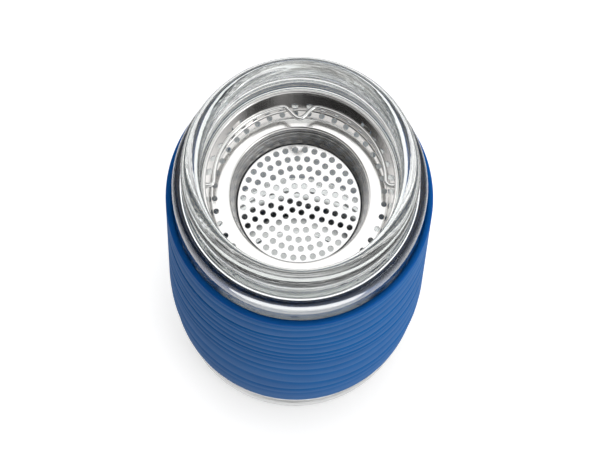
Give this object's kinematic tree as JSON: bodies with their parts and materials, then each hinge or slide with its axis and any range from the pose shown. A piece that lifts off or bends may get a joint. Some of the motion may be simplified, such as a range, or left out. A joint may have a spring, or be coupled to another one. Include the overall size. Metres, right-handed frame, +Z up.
{
  "type": "tea infuser travel mug",
  "caption": "Open double-wall glass travel mug with a ribbed silicone grip sleeve and a lift-out steel tea infuser with a swinging wire bail.",
  "frame": {"origin": "middle of the glass foot, on the table the mug stands on", "axes": "+Z up along the mug's axis; -Y is the front, +Y the back where the bail lies folded; +X to the right seen from the front"},
  "size_m": [0.08, 0.08, 0.1529],
  "materials": {
    "clear_glass": "clear blown borosilicate glass",
    "clear_silicone": "translucent silicone",
    "blue_silicone": "matte moulded silicone",
    "polished_steel": "polished stainless steel"
  },
  "bodies": {
    "mug": {"outer_glass_wall": "clear_glass", "inner_glass_wall": "clear_glass", "vent_plug": "clear_silicone", "silicone_sleeve": "blue_silicone"},
    "infuser": {"infuser_basket": "polished_steel", "strainer_disc": "polished_steel"},
    "bail": {"bail_handle": "polished_steel"}
  },
  "joints": [
    {"name": "infuser_lift", "type": "slide", "parent": "mug", "child": "infuser", "axis": [0, 0, 1], "range_m": [0, 0.06]},
    {"name": "bail_swing", "type": "hinge", "parent": "infuser", "child": "bail", "pos_m": [0, 0, 0.1355], "axis": [1, 0, 0], "range_deg": [0, 189]}
  ]
}
